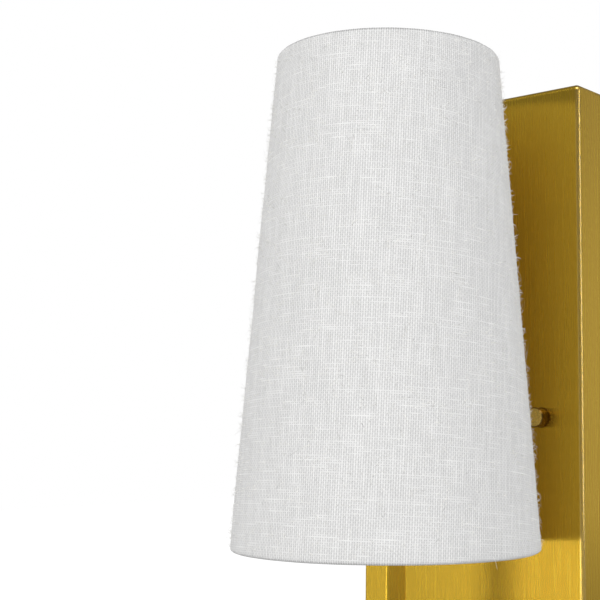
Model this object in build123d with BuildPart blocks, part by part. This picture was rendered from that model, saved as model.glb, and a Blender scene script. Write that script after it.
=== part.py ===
from build123d import *
from math import cos, pi, radians, sin, tan
import os

os.makedirs("parts", exist_ok=True)

# A wall light: a tapered linen shade round a lamp, on a square brass arm that stands out from a tall
# back plate. The wall is the plane y = 0, the room is towards -Y, +Z is up and x = 0 is the middle of
# the light. The origin is midway between the two screws of the junction box. All sizes are in mm.

# --- driving dimensions ---

# Clearances
run_gap = 0.05  # a shaft in the hole that it turns or slides in, on the radius
seat_gap = 0.03  # pieces that are pressed, screwed or glued together
swivel_play = 0.05  # between the two straps, along the rivet

# Back plate: an open-backed pan of folded sheet
plate_width = 115.0
plate_height = 324.0
plate_depth = 25.4
plate_sheet = 1.2
plate_bend = 2.3  # outside radius of the bends round the front face
plate_corner = 2.5  # radius of its four corners, seen from the front

# Wall strap and cross strap
strap_width = 17.0
strap_sheet = 2.0
wall_strap_length = 102.0
cross_strap_length = 92.0
box_screw_spacing = 79.4
box_slot_length = 14.3
box_slot_width = 4.8
rivet_shank_r = 3.0
rivet_head_r = 4.6
rivet_head_height = 1.2
rivet_sink = 0.8  # depth of the rear head in the wall strap
rivet_bore_r = 1.6
ground_screw_x = 17.0
ground_screw_r = 2.0
ground_head_flats = 6.4
ground_head_height = 2.6
ground_flange_r = 4.6
ground_flange_height = 0.8
screw_slot_width = 0.9

# Studs, their nuts and the knobs
stud_spacing = 69.85
stud_r = 2.08
stud_behind = 1.0  # length behind the cross strap
stud_in_knob = 4.2  # thread held by the knob
stud_tip_chamfer = 0.4
stud_hole_r = 2.6  # hole in the back plate
stud_nut_flats = 8.7
stud_nut_height = 3.2
knob_r = 4.75
knob_length = 6.2
knob_chamfer = 0.35
knob_flange_height = 0.9
knob_groove_width = 0.5
knob_groove_depth = 0.45
knob_spare_depth = 0.6  # bore past the stud's tip
knob_washer_r = 4.95
knob_washer_height = 0.8

# Arm and column: one square tube, mitred at the corner
tube_side = 13.4
tube_wall = 1.2
tube_edge_r = 1.2
shade_offset = 76.2  # from the plate's face to the axis of the column and shade
arm_drop = 115.0  # from the knobs down to the arm's centre line
column_top = -52.0
plug_length = 9.0
column_flange = 1.6
nipple_r = 4.85
nipple_bore_r = 3.6
nipple_in_plug = 8.0
nipple_tail = 2.4  # thread past the arm's nut
backing_side = 38.0
backing_sheet = 1.5
backing_corner = 3.0
arm_nut_flats = 14.0
arm_nut_height = 4.0

# Socket. The shade's fitter rests on top of its flange, at seat_z.
seat_z = -17.0
cup_r = 20.5
cup_sheet = 0.8
cup_corner = 4.0
cup_rim_gap = 1.0  # between the cup's rim and the flange
socket_cap_r = 17.0
socket_collar_r = 8.0
socket_collar_height = 3.6
socket_cap_height = 3.0
body_r = 17.0
body_wall = 3.0
flange_r = 23.0
flange_height = 3.0
web_depth = 7.0  # underside of the web below seat_z
web_top_depth = 3.0
sleeve_r = 18.5
sleeve_height = 23.0
shell_r = 13.8
shell_sheet = 0.6
shell_height = 23.0
shell_floor_r = 8.2  # hole in the shell's floor
contact_length = 11.0
contact_width = 5.0
contact_sheet = 0.5
contact_boss_r = 2.5
hot_x = -6.0
neutral_x = 10.0
terminal_size = 5.0
terminal_height = 4.0
terminal_pin_r = 1.2

# Bulb
tip_depth = 0.5  # bulb's tip below seat_z
contact_play = 0.05
bulb_length = 108.0
bulb_r = 30.0
bulb_tip_r = 4.5
bulb_tip_height = 1.0
bulb_insulator_height = 4.0
bulb_cap_r = 13.1
bulb_cap_length = 20.0
bulb_cap_sheet = 0.9
bulb_thread_pitch = 3.63
bulb_thread_depth = 0.5
bulb_thread_turns = 5
bulb_neck_r = 13.4
bulb_neck_lean = 0.3  # how far the neck leans out for each mm up, where it leaves the cap
bulb_wall = 1.4
bulb_seam_height = 58.0  # housing's rim above the tip
led_board_thick = 1.6
led_ring_r = 14.0
led_count = 8
led_side = 3.0
led_height = 0.8

# Shade
shade_bottom_r = 69.85
shade_top_r = 51.75
shade_bottom_z = -60.0
shade_height = 225.5
fabric_thick = 0.5
liner_thick = 0.6
shade_wire_r = 1.2
hem_slope = 4.0  # height in which the turned-in edge comes back to the liner
hem_flat = 8.0
hub_r = 24.5
hub_hole_r = 19.2
hub_sheet = 1.5
spoke_r = 1.5
spoke_count = 3
spoke_level = 10.0  # length of each spoke's level end
spoke_bend_r = 8.0
spoke_notch_gap = 0.3
spoke_notch_past = 0.15  # depth of each notch past its spoke's end
ring_flange_height = 2.5
ring_flange_r = 23.0
ring_grip_r = 21.8
ring_height = 7.5
ring_grips = 12
ring_grip_cut_r = 1.6

# Leads and wire nuts
lead_r = 1.2
lead_gap = 1.5  # each lead's offset from the middle of the tube
lead_corner_r = 12.0
lead_exit_r = 9.0
lead_back_y = -6.5
lead_drop = 4.0  # straight start below each terminal
lead_rise = 5.0  # from a lead's last corner up to the foot of its wire nut
ground_rise = 7.0
fan_in = 3.0  # the two leads' corners beside the arm, in from the wire nuts' spacing
fan_up = 18.0  # and up from the arm's centre line
lug_r = 8.0
lug_sheet = 0.8
lug_tongue = 6.0
lug_barrel_r = 2.0
lug_barrel_length = 8.0
lug_lead_start = 3.6  # from the barrel up to the lead's first corner
lug_lead_bend_r = 6.0
wire_nut_spacing = 24.0
wire_nut_y = -9.0
wire_nut_z = -76.0
wire_nut_r = 5.5
wire_nut_top_r = 4.0
wire_nut_height = 22.0
wire_nut_bore = 10.0
wire_nut_edge_r = 1.3

# --- places worked out from them ---

face_y = -plate_depth
inside_y = face_y + plate_sheet
axis_y = face_y - shade_offset
arm_z = -arm_drop
tube_bore = tube_side - 2 * tube_wall
plug_side = tube_bore - 2 * seat_gap
stud_x = stud_spacing / 2
tube_half = tube_side / 2


def facing_room(y, x=0, z=0):
    """A plane across Y at the given place, whose sketches extrude towards the room."""
    return Plane(origin=(x, y, z), x_dir=(1, 0, 0), z_dir=(0, -1, 0))


def level(z):
    """A level plane whose origin is on the axis of the column and shade."""
    return Plane(origin=(0, axis_y, z))


upright = facing_room(axis_y)
shade_axis = Axis((0, axis_y, 0), (0, 0, 1))
mitre = Plane(origin=(0, axis_y, arm_z), x_dir=(1, 0, 0), z_dir=(0, 1, -1))


def square_tube():
    """Draws the arm's section in the open sketch."""
    RectangleRounded(tube_side, tube_side, tube_edge_r)
    Rectangle(tube_bore, tube_bore, mode=Mode.SUBTRACT)


def hexagon(flats):
    """Draws a hexagon of that width across its flats in the open sketch."""
    RegularPolygon(radius=flats / 2, side_count=6, major_radius=False)


# --- straps, studs and their hardware ---

with BuildPart() as wall_strap:
    with BuildSketch(Plane.XZ):
        SlotOverall(wall_strap_length, strap_width, rotation=90)
        with Locations((0, -box_screw_spacing / 2), (0, box_screw_spacing / 2)):
            SlotOverall(box_slot_length, box_slot_width, rotation=90, mode=Mode.SUBTRACT)
        Circle(rivet_shank_r + seat_gap, mode=Mode.SUBTRACT)
    extrude(amount=strap_sheet)
    with BuildSketch(Plane.XZ):
        Circle(rivet_head_r + seat_gap)
    extrude(amount=rivet_sink, mode=Mode.SUBTRACT)
wall_strap.part.label = "wall_strap"
export_step(wall_strap.part, "parts/wall_strap.step")

cross_back = strap_sheet + swivel_play
cross_front = cross_back + strap_sheet

with BuildPart() as swivel_rivet:
    with BuildSketch(Plane.XZ):
        Circle(rivet_head_r)
    extrude(amount=rivet_sink)
    with BuildSketch(Plane.XZ):
        Circle(rivet_shank_r)
    extrude(amount=cross_front + swivel_play)
    with BuildSketch(Plane.XZ.offset(cross_front + swivel_play)):
        Circle(rivet_head_r)
    extrude(amount=rivet_head_height)
    chamfer(swivel_rivet.faces().sort_by(Axis.Y)[0].edges(), rivet_head_height / 2)
    with BuildSketch(Plane.XZ):
        Circle(rivet_bore_r)
    extrude(amount=cross_front + swivel_play + rivet_head_height, mode=Mode.SUBTRACT)
swivel_rivet.part.label = "swivel_rivet"
export_step(swivel_rivet.part, "parts/swivel_rivet.step")

with BuildPart() as cross_strap:
    with BuildSketch(Plane.XZ.offset(cross_back)):
        SlotOverall(cross_strap_length, strap_width)
        Circle(rivet_shank_r + run_gap, mode=Mode.SUBTRACT)
        with Locations((-stud_x, 0), (stud_x, 0)):
            Circle(stud_r + seat_gap, mode=Mode.SUBTRACT)
        with Locations((ground_screw_x, 0)):
            Circle(ground_screw_r + seat_gap, mode=Mode.SUBTRACT)
    extrude(amount=strap_sheet)
cross_strap.part.label = "cross_strap"
export_step(cross_strap.part, "parts/cross_strap.step")

stud_back = cross_back - stud_behind
stud_front = plate_depth + knob_washer_height + stud_in_knob

with BuildPart() as studs:
    with BuildSketch(Plane.XZ.offset(stud_back)):
        with Locations((-stud_x, 0), (stud_x, 0)):
            Circle(stud_r)
    extrude(amount=stud_front - stud_back)
    chamfer(studs.faces().group_by(Axis.Y)[0].edges(), stud_tip_chamfer)
studs.part.label = "studs"
export_step(studs.part, "parts/studs.step")

with BuildPart() as stud_nuts:
    with BuildSketch(Plane.XZ.offset(cross_front)):
        with Locations((-stud_x, 0), (stud_x, 0)):
            hexagon(stud_nut_flats)
            Circle(stud_r + seat_gap, mode=Mode.SUBTRACT)
    extrude(amount=stud_nut_height)
stud_nuts.part.label = "stud_nuts"
export_step(stud_nuts.part, "parts/stud_nuts.step")

with BuildPart() as ground_screw:
    with BuildSketch(facing_room(-cross_back, x=ground_screw_x)):
        Circle(ground_screw_r)
    extrude(amount=strap_sheet)
    with BuildSketch(facing_room(-cross_front, x=ground_screw_x)):
        Circle(ground_flange_r)
    extrude(amount=ground_flange_height)
    with BuildSketch(facing_room(-cross_front - ground_flange_height, x=ground_screw_x)):
        hexagon(ground_head_flats)
    extrude(amount=ground_head_height)
    with BuildSketch(ground_screw.faces().sort_by(Axis.Y)[0]):
        Rectangle(2 * ground_flange_r, screw_slot_width)
    extrude(amount=-ground_head_height / 2, mode=Mode.SUBTRACT)
ground_screw.part.label = "ground_screw"
export_step(ground_screw.part, "parts/ground_screw.step")

# --- back plate ---

pan_corner = max(plate_corner - plate_sheet, seat_gap)
pan_bend = max(plate_bend - plate_sheet, seat_gap)

with BuildPart() as plate_hollow:
    with BuildSketch(Plane.XZ):
        RectangleRounded(plate_width - 2 * plate_sheet, plate_height - 2 * plate_sheet, pan_corner)
    extrude(amount=plate_depth - plate_sheet)
    fillet(plate_hollow.faces().sort_by(Axis.Y)[0].edges(), pan_bend)

with BuildPart() as backplate:
    with BuildSketch(Plane.XZ):
        RectangleRounded(plate_width, plate_height, plate_corner)
    extrude(amount=plate_depth)
    fillet(backplate.faces().sort_by(Axis.Y)[0].edges(), plate_bend)
    add(plate_hollow.part, mode=Mode.SUBTRACT)
    with BuildSketch(Plane.XZ.offset(plate_depth - plate_sheet)):
        with Locations((-stud_x, 0), (stud_x, 0)):
            Circle(stud_hole_r)
        with Locations((0, arm_z)):
            Circle(nipple_r + seat_gap)
    extrude(amount=plate_sheet, mode=Mode.SUBTRACT)
backplate.part.label = "backplate"
export_step(backplate.part, "parts/backplate.step")

# --- knobs and their washers, one of each for either stud ---

washer_y = face_y - knob_washer_height
knob_bore_depth = stud_in_knob + knob_spare_depth
groove_back = knob_flange_height
groove_front = groove_back + knob_groove_width

for side, x in (("left", -stud_x), ("right", stud_x)):
    with BuildPart() as knob_washer:
        with BuildSketch(facing_room(face_y, x=x)):
            Circle(knob_washer_r)
            Circle(stud_hole_r, mode=Mode.SUBTRACT)
        extrude(amount=knob_washer_height)
    knob_washer.part.label = "knob_washer_" + side
    export_step(knob_washer.part, "parts/knob_washer_" + side + ".step")

    with BuildPart() as knob:
        with BuildSketch(facing_room(washer_y, x=x)):
            Circle(knob_r)
        extrude(amount=knob_length)
        chamfer(knob.faces().sort_by(Axis.Y)[0].edges(), knob_chamfer)
        with BuildSketch(facing_room(washer_y - groove_back, x=x)):
            Circle(knob_r)
            Circle(knob_r - knob_groove_depth, mode=Mode.SUBTRACT)
        extrude(amount=groove_front - groove_back, mode=Mode.SUBTRACT)
        with BuildSketch(facing_room(washer_y, x=x)):
            Circle(stud_r + run_gap)
        extrude(amount=knob_bore_depth, mode=Mode.SUBTRACT)
    knob.part.label = "knob_" + side
    export_step(knob.part, "parts/knob_" + side + ".step")

# --- arm and column ---

with BuildPart() as arm_tube:
    with BuildSketch(facing_room(face_y, z=arm_z)):
        square_tube()
    extrude(amount=shade_offset + tube_half)
    split(bisect_by=mitre, keep=Keep.TOP)
arm_tube.part.label = "arm_tube"
export_step(arm_tube.part, "parts/arm_tube.step")

with BuildPart() as column_tube:
    with BuildSketch(level(arm_z - tube_half)):
        square_tube()
    extrude(amount=column_top - arm_z + tube_half)
    split(bisect_by=mitre, keep=Keep.BOTTOM)
column_tube.part.label = "column_tube"
export_step(column_tube.part, "parts/column_tube.step")

with BuildPart() as arm_plug:
    with BuildSketch(facing_room(face_y, z=arm_z)):
        Rectangle(plug_side, plug_side)
        Circle(nipple_r + seat_gap, mode=Mode.SUBTRACT)
    extrude(amount=plug_length)
arm_plug.part.label = "arm_plug"
export_step(arm_plug.part, "parts/arm_plug.step")

backing_y = inside_y + backing_sheet
lug_y = backing_y + lug_sheet
arm_nut_y = lug_y + arm_nut_height
arm_nipple_y = arm_nut_y + nipple_tail

with BuildPart() as arm_nipple:
    with BuildSketch(facing_room(arm_nipple_y, z=arm_z)):
        Circle(nipple_r)
        Circle(nipple_bore_r, mode=Mode.SUBTRACT)
    extrude(amount=arm_nipple_y - face_y + nipple_in_plug)
arm_nipple.part.label = "arm_nipple"
export_step(arm_nipple.part, "parts/arm_nipple.step")

with BuildPart() as arm_backing_plate:
    with BuildSketch(facing_room(backing_y, z=arm_z)):
        RectangleRounded(backing_side, backing_side, backing_corner)
        Circle(nipple_r + seat_gap, mode=Mode.SUBTRACT)
    extrude(amount=backing_sheet)
arm_backing_plate.part.label = "arm_backing_plate"
export_step(arm_backing_plate.part, "parts/arm_backing_plate.step")

lug_barrel_z = arm_z + lug_r + lug_tongue
lug_barrel_y = lug_y - lug_sheet + lug_barrel_r

with BuildPart() as ground_lug:
    with BuildSketch(facing_room(lug_y, z=arm_z)):
        Circle(lug_r)
        with Locations((0, (lug_r + lug_tongue) / 2)):
            Rectangle(2 * lug_barrel_r, lug_r + lug_tongue)
        Circle(nipple_r + seat_gap, mode=Mode.SUBTRACT)
    extrude(amount=lug_sheet)
    with BuildSketch(Plane(origin=(0, lug_barrel_y, lug_barrel_z - lug_sheet))):
        Circle(lug_barrel_r)
    extrude(amount=lug_barrel_length + lug_sheet)
    with BuildSketch(Plane(origin=(0, lug_barrel_y, lug_barrel_z))):
        Circle(lead_r + seat_gap)
    extrude(amount=lug_barrel_length, mode=Mode.SUBTRACT)
ground_lug.part.label = "ground_lug"
export_step(ground_lug.part, "parts/ground_lug.step")

with BuildPart() as arm_nut:
    with BuildSketch(facing_room(arm_nut_y, z=arm_z)):
        hexagon(arm_nut_flats)
        Circle(nipple_r + seat_gap, mode=Mode.SUBTRACT)
    extrude(amount=arm_nut_height)
arm_nut.part.label = "arm_nut"
export_step(arm_nut.part, "parts/arm_nut.step")

cup_z = column_top + column_flange
collar_z = cup_z + cup_sheet
cap_disc_z = collar_z + socket_collar_height
body_z = cap_disc_z + socket_cap_height
web_z = seat_z - web_depth
web_top_z = seat_z - web_top_depth

with BuildPart() as column_plug:
    with BuildSketch(level(column_top - plug_length)):
        Rectangle(plug_side, plug_side)
    extrude(amount=plug_length)
    with BuildSketch(level(column_top)):
        RectangleRounded(tube_side, tube_side, tube_edge_r)
    extrude(amount=column_flange)
    with BuildSketch(level(column_top - plug_length)):
        Circle(nipple_r + seat_gap)
    extrude(amount=plug_length + column_flange, mode=Mode.SUBTRACT)
column_plug.part.label = "column_plug"
export_step(column_plug.part, "parts/column_plug.step")

# --- socket ---

with BuildPart() as socket_nipple:
    with BuildSketch(level(column_top - nipple_in_plug)):
        Circle(nipple_r)
        Circle(nipple_bore_r, mode=Mode.SUBTRACT)
    extrude(amount=cap_disc_z - column_top + nipple_in_plug)
socket_nipple.part.label = "socket_nipple"
export_step(socket_nipple.part, "parts/socket_nipple.step")

cup_hole_r = nipple_r + seat_gap
cup_rim_z = seat_z - flange_height - cup_rim_gap
cup_inner_r = cup_r - cup_sheet

with BuildPart() as socket_cup:
    with BuildSketch(upright):
        with BuildLine():
            FilletPolyline((cup_hole_r, cup_z), (cup_r, cup_z), (cup_r, cup_rim_z), radius=cup_corner)
            Line((cup_r, cup_rim_z), (cup_inner_r, cup_rim_z))
            FilletPolyline(
                (cup_inner_r, cup_rim_z),
                (cup_inner_r, collar_z),
                (cup_hole_r, collar_z),
                radius=max(cup_corner - cup_sheet, seat_gap),
            )
            Line((cup_hole_r, collar_z), (cup_hole_r, cup_z))
        make_face()
    revolve(axis=shade_axis)
socket_cup.part.label = "socket_cup"
export_step(socket_cup.part, "parts/socket_cup.step")

with BuildPart() as socket_cap:
    with BuildSketch(level(collar_z)):
        Circle(socket_collar_r)
    extrude(amount=socket_collar_height)
    with BuildSketch(level(cap_disc_z)):
        Circle(socket_cap_r)
    extrude(amount=socket_cap_height)
    with BuildSketch(level(collar_z)):
        Circle(nipple_r + seat_gap)
    extrude(amount=body_z - collar_z, mode=Mode.SUBTRACT)
socket_cap.part.label = "socket_cap"
export_step(socket_cap.part, "parts/socket_cap.step")

with BuildPart() as socket_body:
    with BuildSketch(level(body_z)):
        Circle(body_r)
    extrude(amount=seat_z - body_z)
    with BuildSketch(level(seat_z - flange_height)):
        Circle(flange_r)
    extrude(amount=flange_height)
    with BuildSketch(level(seat_z)):
        Circle(sleeve_r)
    extrude(amount=sleeve_height)
    with BuildSketch(level(body_z)):
        Circle(body_r - body_wall)
    extrude(amount=web_z - body_z, mode=Mode.SUBTRACT)
    with BuildSketch(level(web_top_z)):
        Circle(shell_r + seat_gap)
    extrude(amount=seat_z + sleeve_height - web_top_z, mode=Mode.SUBTRACT)
    with BuildSketch(level(web_z)):
        with Locations((hot_x, 0), (neutral_x, 0)):
            Circle(terminal_pin_r + seat_gap)
    extrude(amount=web_top_z - web_z, mode=Mode.SUBTRACT)
socket_body.part.label = "socket_body"
export_step(socket_body.part, "parts/socket_body.step")

with BuildPart() as socket_terminals:
    with BuildSketch(level(web_z - terminal_height)):
        with Locations((hot_x, 0), (neutral_x, 0)):
            Rectangle(terminal_size, terminal_size)
    extrude(amount=terminal_height)
    with BuildSketch(level(web_z)):
        with Locations((hot_x, 0), (neutral_x, 0)):
            Circle(terminal_pin_r)
    extrude(amount=web_top_z - web_z)
socket_terminals.part.label = "socket_terminals"
export_step(socket_terminals.part, "parts/socket_terminals.step")

with BuildPart() as screw_shell:
    with BuildSketch(level(web_top_z)):
        Circle(shell_r)
        Circle(shell_floor_r, mode=Mode.SUBTRACT)
    extrude(amount=shell_sheet)
    with BuildSketch(level(web_top_z)):
        Circle(shell_r)
        Circle(shell_r - shell_sheet, mode=Mode.SUBTRACT)
    extrude(amount=shell_height)
screw_shell.part.label = "screw_shell"
export_step(screw_shell.part, "parts/screw_shell.step")

tip_z = seat_z - tip_depth

with BuildPart() as centre_contact:
    with BuildSketch(level(web_top_z)):
        with Locations((hot_x + contact_length / 2 - terminal_pin_r, 0)):
            Rectangle(contact_length, contact_width)
    extrude(amount=contact_sheet)
    with BuildSketch(level(web_top_z)):
        Circle(contact_boss_r)
    extrude(amount=tip_z - contact_play - web_top_z)
centre_contact.part.label = "centre_contact"
export_step(centre_contact.part, "parts/centre_contact.step")

# --- leads, held in the tubes, and the wire nuts on their ends ---


def bend_radii(points, limits):
    """Each corner's radius: 0.45 of its shorter run over the tangent of half its turn, or its limit."""
    radii = []
    for before, corner, after, limit in zip(points, points[1:], points[2:], limits):
        run_in = Vector(*corner) - Vector(*before)
        run_out = Vector(*after) - Vector(*corner)
        half_turn = radians(run_in.get_angle(run_out)) / 2
        shorter = min(run_in.length, run_out.length)
        radii.append(min(0.45 * shorter / tan(half_turn), limit))
    return radii


terminal_z = web_z - terminal_height
lead_end_z = wire_nut_z + wire_nut_bore
no_limit = 1000.0
gather_z = body_z + lead_gap  # where the two leads come together above the nipple
fan_x = wire_nut_spacing - fan_in
fan_z = arm_z + fan_up
turn_z = wire_nut_z - lead_rise
ground_turn_z = wire_nut_z - ground_rise

lead_routes = {
    "lead_black": [
        (hot_x, axis_y, terminal_z),
        (hot_x, axis_y, terminal_z - lead_drop),
        (-lead_gap, axis_y, gather_z),
        (-lead_gap, axis_y, arm_z),
        (-lead_gap, lead_back_y, arm_z),
        (-fan_x, lead_back_y, fan_z),
        (-wire_nut_spacing, wire_nut_y, turn_z),
        (-wire_nut_spacing, wire_nut_y, lead_end_z),
    ],
    "lead_white": [
        (neutral_x, axis_y, terminal_z),
        (neutral_x, axis_y, terminal_z - lead_drop),
        (lead_gap, axis_y, gather_z),
        (lead_gap, axis_y, arm_z),
        (lead_gap, lead_back_y, arm_z),
        (fan_x, lead_back_y, fan_z),
        (wire_nut_spacing, wire_nut_y, turn_z),
        (wire_nut_spacing, wire_nut_y, lead_end_z),
    ],
    "lead_ground": [
        (0, lug_barrel_y, lug_barrel_z),
        (0, lug_barrel_y, lug_barrel_z + lug_barrel_length + lug_lead_start),
        (0, wire_nut_y, ground_turn_z),
        (0, wire_nut_y, lead_end_z),
    ],
}
lead_limits = {
    "lead_black": [no_limit, no_limit, lead_corner_r, lead_exit_r, no_limit, no_limit],
    "lead_white": [no_limit, no_limit, lead_corner_r, lead_exit_r, no_limit, no_limit],
    "lead_ground": [lug_lead_bend_r, no_limit],
}

for name, points in lead_routes.items():
    radii = bend_radii(points, lead_limits[name])
    with BuildPart() as lead:
        with BuildLine() as route:
            FilletPolyline(*points, radius=radii)
        start_direction = Vector(*points[1]) - Vector(*points[0])
        with BuildSketch(Plane(origin=points[0], z_dir=start_direction)):
            Circle(lead_r)
        sweep(path=route.wires()[0])
    length = route.wires()[0].length
    print(name, "radii", [round(r, 1) for r in radii], "length", round(length, 1))
    print(name, "volume over section x length", round(lead.part.volume / (pi * lead_r**2 * length), 4))
    lead.part.label = name
    export_step(lead.part, "parts/" + name + ".step")

with BuildPart() as wire_nuts:
    for x in (-wire_nut_spacing, 0, wire_nut_spacing):
        with Locations((x, wire_nut_y, wire_nut_z + wire_nut_height / 2)):
            Cone(wire_nut_r, wire_nut_top_r, wire_nut_height)
        with BuildSketch(Plane(origin=(x, wire_nut_y, wire_nut_z))):
            Circle(lead_r + seat_gap)
        extrude(amount=wire_nut_bore, mode=Mode.SUBTRACT)
    fillet(wire_nuts.faces().group_by(Axis.Z)[-1].edges(), wire_nut_edge_r)
wire_nuts.part.label = "wire_nuts"
export_step(wire_nuts.part, "parts/wire_nuts.step")

# --- shade ---

shade_top_z = shade_bottom_z + shade_height
shade_taper = (shade_bottom_r - shade_top_r) / shade_height


def outside_r(z):
    """The linen's outside radius at a height."""
    return shade_bottom_r - shade_taper * (z - shade_bottom_z)


fold_r = shade_wire_r + fabric_thick  # outside of the linen where it rolls round a wire
low_wire_z = shade_bottom_z + fold_r
high_wire_z = shade_top_z - fold_r
low_wire_ring_r = outside_r(low_wire_z) - fold_r
high_wire_ring_r = outside_r(high_wire_z) - fold_r
inner_face = fabric_thick + liner_thick  # from the linen's outside in to the liner's inner face
liner_low_z = low_wire_z + shade_wire_r
liner_high_z = high_wire_z - shade_wire_r

hub_z = seat_z + hub_sheet / 2
spoke_out_r = low_wire_ring_r - shade_wire_r / 2
spoke_low_z = low_wire_z + shade_wire_r / 2
spoke_end = Vector(spoke_out_r, spoke_low_z)
notch_end = spoke_end + (spoke_end - Vector(hub_r + spoke_level, hub_z)).normalized() * spoke_notch_past
notch_out_r = notch_end.X
notch_low_z = notch_end.Y
spoke_angles = [90 + i * 360 / spoke_count for i in range(spoke_count)]


def spoke_plane(angle):
    """An upright plane through the shade's axis, in which one spoke lies."""
    out = (cos(radians(angle)), sin(radians(angle)), 0)
    across = (sin(radians(angle)), -cos(radians(angle)), 0)
    return Plane(origin=(0, axis_y, 0), x_dir=out, z_dir=across)


with BuildPart() as shade_fabric:
    with BuildSketch(upright):
        with BuildLine():
            Polyline(
                (outside_r(low_wire_z), low_wire_z),
                (outside_r(high_wire_z), high_wire_z),
                (outside_r(high_wire_z) - fabric_thick, high_wire_z),
                (outside_r(low_wire_z) - fabric_thick, low_wire_z),
                close=True,
            )
        make_face()
        # at each end the linen rolls round the wire and is glued down inside the liner
        for wire_r, wire_z, inwards in ((low_wire_ring_r, low_wire_z, 1), (high_wire_ring_r, high_wire_z, -1)):
            slope_end = wire_z + inwards * (fold_r + hem_slope)
            flat_end = slope_end + inwards * hem_flat
            with Locations((wire_r, wire_z)):
                Circle(fold_r)
            with BuildLine():
                Polyline(
                    (wire_r - fold_r, wire_z),
                    (wire_r - shade_wire_r, wire_z),
                    (outside_r(slope_end) - inner_face - seat_gap, slope_end),
                    (outside_r(flat_end) - inner_face - seat_gap, flat_end),
                    (outside_r(flat_end) - inner_face - fabric_thick, flat_end),
                    (outside_r(slope_end) - inner_face - fabric_thick, slope_end),
                    close=True,
                )
            make_face()
        with Locations((low_wire_ring_r, low_wire_z), (high_wire_ring_r, high_wire_z)):
            Circle(shade_wire_r + seat_gap, mode=Mode.SUBTRACT)
        # the liner's edges stand between the linen's wall and its turned-in edges, down to the wires
        for wire_z, inwards in ((low_wire_z, 1), (high_wire_z, -1)):
            slot_end = wire_z + inwards * fold_r
            with BuildLine():
                Polyline(
                    (outside_r(wire_z) - fabric_thick, wire_z),
                    (outside_r(slot_end) - fabric_thick, slot_end),
                    (outside_r(slot_end) - inner_face - seat_gap, slot_end),
                    (outside_r(wire_z) - inner_face - seat_gap, wire_z),
                    close=True,
                )
            make_face(mode=Mode.SUBTRACT)
    revolve(axis=shade_axis)
    for angle in spoke_angles:
        with BuildLine(spoke_plane(angle)) as notch_route:
            FilletPolyline(
                (hub_r, hub_z), (hub_r + spoke_level, hub_z), (notch_out_r, notch_low_z), radius=spoke_bend_r
            )
        with BuildSketch(Plane(origin=notch_route.line @ 0, z_dir=notch_route.line % 0)):
            Circle(spoke_r + spoke_notch_gap)
        sweep(path=notch_route.wires()[0], mode=Mode.SUBTRACT)
shade_fabric.part.label = "shade_fabric"
export_step(shade_fabric.part, "parts/shade_fabric.step")

with BuildPart() as shade_liner:
    with BuildSketch(upright):
        with BuildLine():
            Polyline(
                (outside_r(liner_low_z) - fabric_thick - seat_gap, liner_low_z),
                (outside_r(liner_high_z) - fabric_thick - seat_gap, liner_high_z),
                (outside_r(liner_high_z) - inner_face, liner_high_z),
                (outside_r(liner_low_z) - inner_face, liner_low_z),
                close=True,
            )
        make_face()
    revolve(axis=shade_axis)
shade_liner.part.label = "shade_liner"
export_step(shade_liner.part, "parts/shade_liner.step")

with BuildPart() as shade_wire_bottom:
    with Locations((0, axis_y, low_wire_z)):
        Torus(low_wire_ring_r, shade_wire_r)
shade_wire_bottom.part.label = "shade_wire_bottom"
export_step(shade_wire_bottom.part, "parts/shade_wire_bottom.step")

with BuildPart() as shade_wire_top:
    with Locations((0, axis_y, high_wire_z)):
        Torus(high_wire_ring_r, shade_wire_r)
shade_wire_top.part.label = "shade_wire_top"
export_step(shade_wire_top.part, "parts/shade_wire_top.step")

with BuildPart() as fitter_hub:
    with BuildSketch(level(seat_z)):
        Circle(hub_r)
        Circle(hub_hole_r, mode=Mode.SUBTRACT)
    extrude(amount=hub_sheet)
fitter_hub.part.label = "fitter_hub"
export_step(fitter_hub.part, "parts/fitter_hub.step")

with BuildPart() as fitter_spokes:
    for angle in spoke_angles:
        with BuildLine(spoke_plane(angle)) as spoke_route:
            FilletPolyline(
                (hub_r - hub_sheet, hub_z),
                (hub_r + spoke_level, hub_z),
                (spoke_out_r, spoke_low_z),
                radius=spoke_bend_r,
            )
        with BuildSketch(Plane(origin=spoke_route.line @ 0, z_dir=spoke_route.line % 0)):
            Circle(spoke_r)
        sweep(path=spoke_route.wires()[0])
    with BuildSketch(level(seat_z - spoke_r)):
        Circle(hub_r)
    extrude(amount=hub_sheet + 2 * spoke_r, mode=Mode.SUBTRACT)
    with Locations((0, axis_y, low_wire_z)):
        Torus(low_wire_ring_r, shade_wire_r + seat_gap, mode=Mode.SUBTRACT)
fitter_spokes.part.label = "fitter_spokes"
export_step(fitter_spokes.part, "parts/fitter_spokes.step")

ring_z = seat_z + hub_sheet

with BuildPart() as shade_ring:
    with BuildSketch(level(ring_z)):
        Circle(ring_flange_r)
    extrude(amount=ring_flange_height)
    with BuildSketch(level(ring_z + ring_flange_height)):
        Circle(ring_grip_r)
        with PolarLocations(ring_grip_r, ring_grips):
            Circle(ring_grip_cut_r, mode=Mode.SUBTRACT)
    extrude(amount=ring_height - ring_flange_height)
    with BuildSketch(level(ring_z)):
        Circle(sleeve_r + run_gap)
    extrude(amount=ring_height, mode=Mode.SUBTRACT)
shade_ring.part.label = "shade_ring"
export_step(shade_ring.part, "parts/shade_ring.step")

# --- bulb ---

insulator_z = tip_z + bulb_tip_height
bulb_cap_z = insulator_z + bulb_insulator_height
neck_z = bulb_cap_z + bulb_cap_length
widest_z = tip_z + bulb_length - bulb_r
seam_z = tip_z + bulb_seam_height
thread_root_r = bulb_cap_r - bulb_thread_depth

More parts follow.
